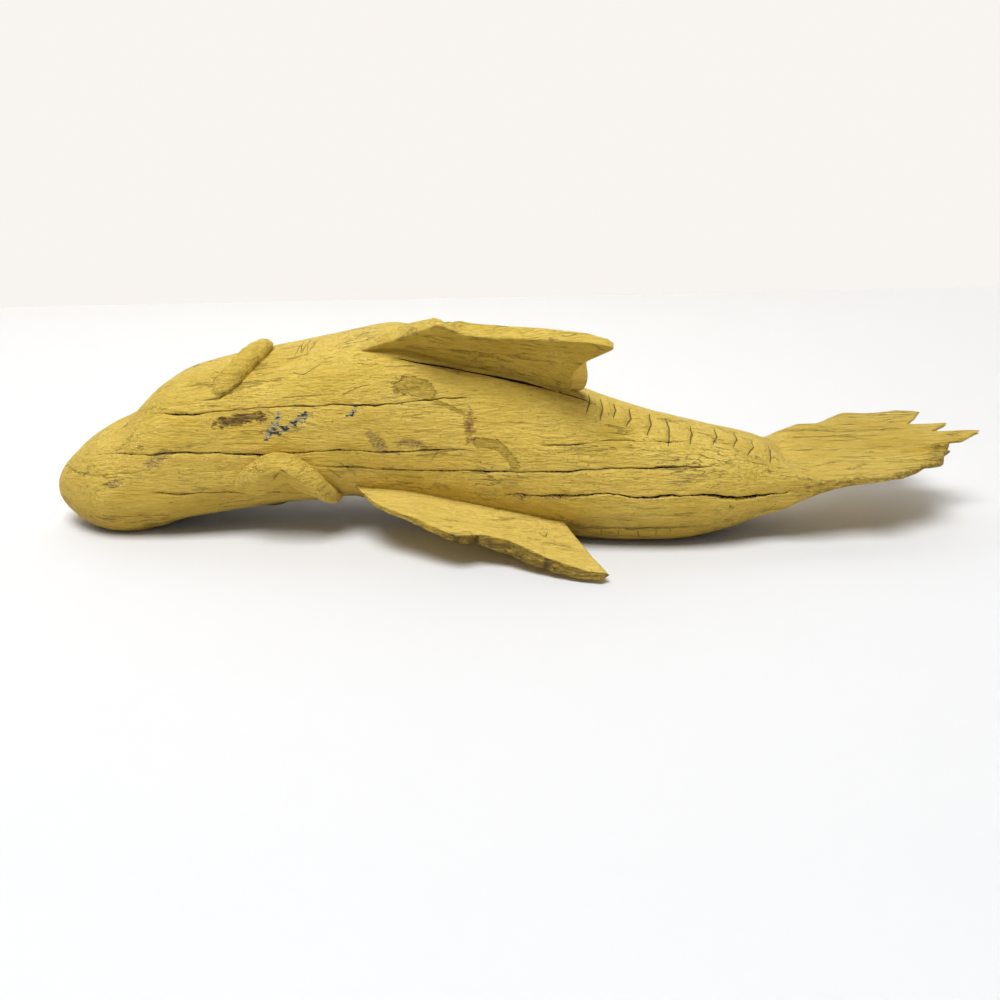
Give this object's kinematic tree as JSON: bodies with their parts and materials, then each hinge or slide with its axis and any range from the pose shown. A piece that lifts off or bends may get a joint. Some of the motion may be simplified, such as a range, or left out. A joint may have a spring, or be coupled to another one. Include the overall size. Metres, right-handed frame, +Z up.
{
  "type": "fish sculpture",
  "caption": "Carved and painted wooden fish that lies on its side, a bent log body with two housed fin boards, raised brows and a broken tail fan.",
  "frame": {"origin": "middle of the bounding box, on the table plane under the fish", "axes": "+X from snout to tail, +Y away from the viewer (towards the belly), +Z up from the table"},
  "size_m": [0.576, 0.1566, 0.1375],
  "materials": {
    "painted_wood": "matt ochre paint, worn and cracked along the grain",
    "bare_wood": "unpainted, whittled"
  },
  "bodies": {
    "root": {"body": "painted_wood", "right_fin": "painted_wood", "left_fin": "painted_wood", "right_brow": "painted_wood", "left_brow": "painted_wood", "right_fin_front_dowel": "bare_wood", "right_fin_rear_dowel": "bare_wood", "left_fin_front_dowel": "bare_wood", "left_fin_rear_dowel": "bare_wood", "right_brow_peg": "bare_wood", "left_brow_peg": "bare_wood"}
  },
  "joints": []
}
